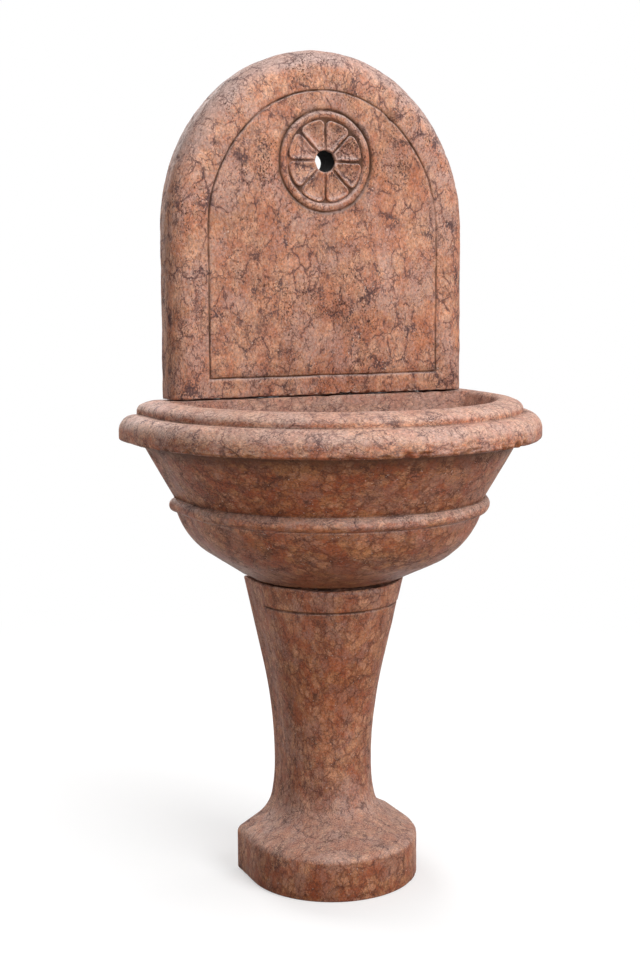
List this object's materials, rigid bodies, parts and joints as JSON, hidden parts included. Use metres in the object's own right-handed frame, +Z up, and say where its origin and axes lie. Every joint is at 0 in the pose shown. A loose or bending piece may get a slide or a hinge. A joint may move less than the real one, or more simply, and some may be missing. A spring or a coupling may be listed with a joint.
{
  "type": "floor fountain",
  "caption": "Carved red-marble wall fountain on a floor pedestal: half-round bowl with roll rim, arched back slab with rosette and spout hole, brass waste and lift-out overflow pipe.",
  "frame": {"origin": "on the floor, in the middle of the whole fountain's width and depth", "axes": "+Z up, +Y towards the wall behind the fountain, +X to the viewer's right"},
  "size_m": [0.744, 0.4639, 1.5],
  "materials": {
    "red_marble": "weathered honed nodular marble",
    "dowel_steel": "satin",
    "packer_lead": "dull grey",
    "aged_brass": "aged",
    "seal_rubber": "matt"
  },
  "bodies": {
    "fountain": {"pedestal": "red_marble", "basin": "red_marble", "back_slab": "red_marble", "pedestal_dowels": "dowel_steel", "slab_dowels": "dowel_steel", "pedestal_packers": "packer_lead", "slab_packers": "packer_lead", "wall_tie_sockets": "dowel_steel", "waste_body": "aged_brass", "waste_seal": "seal_rubber", "waste_lower_seal": "seal_rubber", "waste_backnut": "aged_brass", "union_seal": "seal_rubber", "union_nut": "aged_brass", "waste_bend": "aged_brass"},
    "standpipe": {"overflow_standpipe": "aged_brass", "standpipe_o_ring": "seal_rubber"}
  },
  "joints": [
    {"name": "standpipe_lift", "type": "slide", "parent": "fountain", "child": "standpipe", "axis": [0, 0, 1], "range_m": [0, 0.3]}
  ]
}
